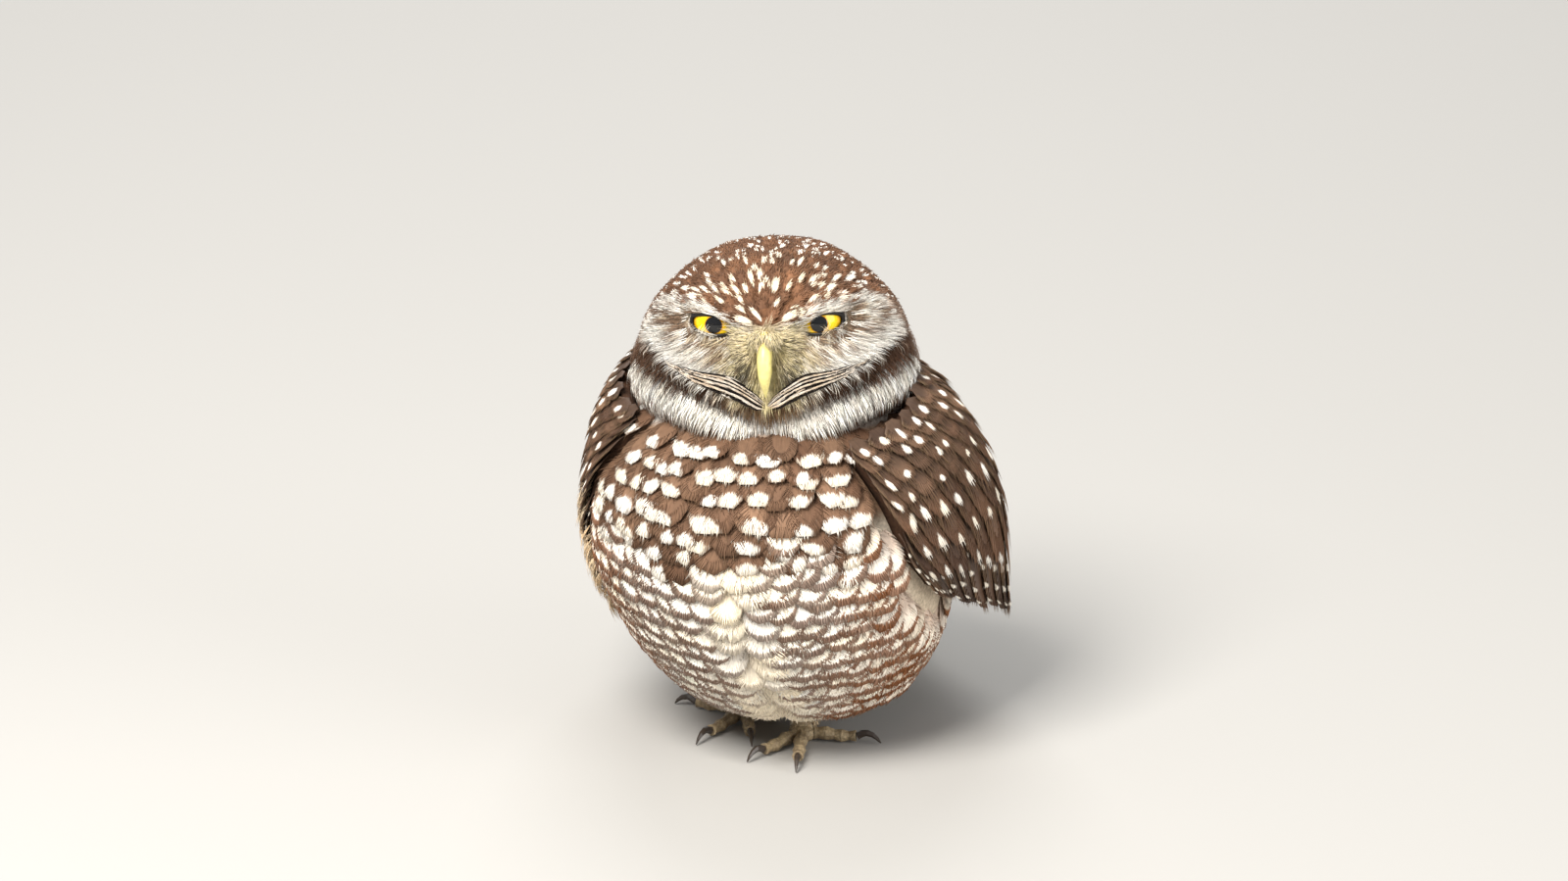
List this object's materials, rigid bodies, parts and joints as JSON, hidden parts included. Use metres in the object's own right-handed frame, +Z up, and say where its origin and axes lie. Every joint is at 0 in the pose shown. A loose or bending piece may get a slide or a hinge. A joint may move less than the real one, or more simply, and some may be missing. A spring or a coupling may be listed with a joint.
{
  "type": "burrowing owl",
  "caption": "Small round long-legged owl standing hunched and fluffed, with a frowning brow, folded wings, short tail and four-toed feet.",
  "frame": {"origin": "on the ground, under the middle of the whole bird's box", "axes": "+Z up, -Y the way the breast faces, +X the bird's left side"},
  "size_m": [0.1376, 0.157, 0.1629],
  "materials": {
    "plumage": "matte, soft feathers barred and spotted brown on white",
    "flight_feathers": "matte dark brown vanes with white spots and pale tips",
    "iris": "wet gloss, yellow iris round a black pupil",
    "lid_skin": "matte dark skin",
    "bill_horn": "satin pale yellow horn",
    "leg_skin": "matte scaly skin with fine bristles",
    "claw_horn": "satin dark horn"
  },
  "bodies": {
    "root": {"bill_lower": "bill_horn", "bill_upper": "bill_horn", "claw_left_1": "claw_horn", "claw_left_2": "claw_horn", "claw_left_3": "claw_horn", "claw_left_4": "claw_horn", "claw_right_1": "claw_horn", "claw_right_2": "claw_horn", "claw_right_3": "claw_horn", "claw_right_4": "claw_horn", "eye_left": "iris", "eye_right": "iris", "foot_left": "leg_skin", "foot_right": "leg_skin", "head": "plumage", "lid_lower_left": "lid_skin", "lid_lower_right": "lid_skin", "lid_upper_left": "lid_skin", "lid_upper_right": "lid_skin", "neck": "plumage", "shank_left": "leg_skin", "shank_right": "leg_skin", "tail": "flight_feathers", "thigh_left": "plumage", "thigh_right": "plumage", "toe_left_1": "leg_skin", "toe_left_2": "leg_skin", "toe_left_3": "leg_skin", "toe_left_4": "leg_skin", "toe_right_1": "leg_skin", "toe_right_2": "leg_skin", "toe_right_3": "leg_skin", "toe_right_4": "leg_skin", "torso": "plumage", "wing_left": "flight_feathers", "wing_right": "flight_feathers"}
  },
  "joints": []
}
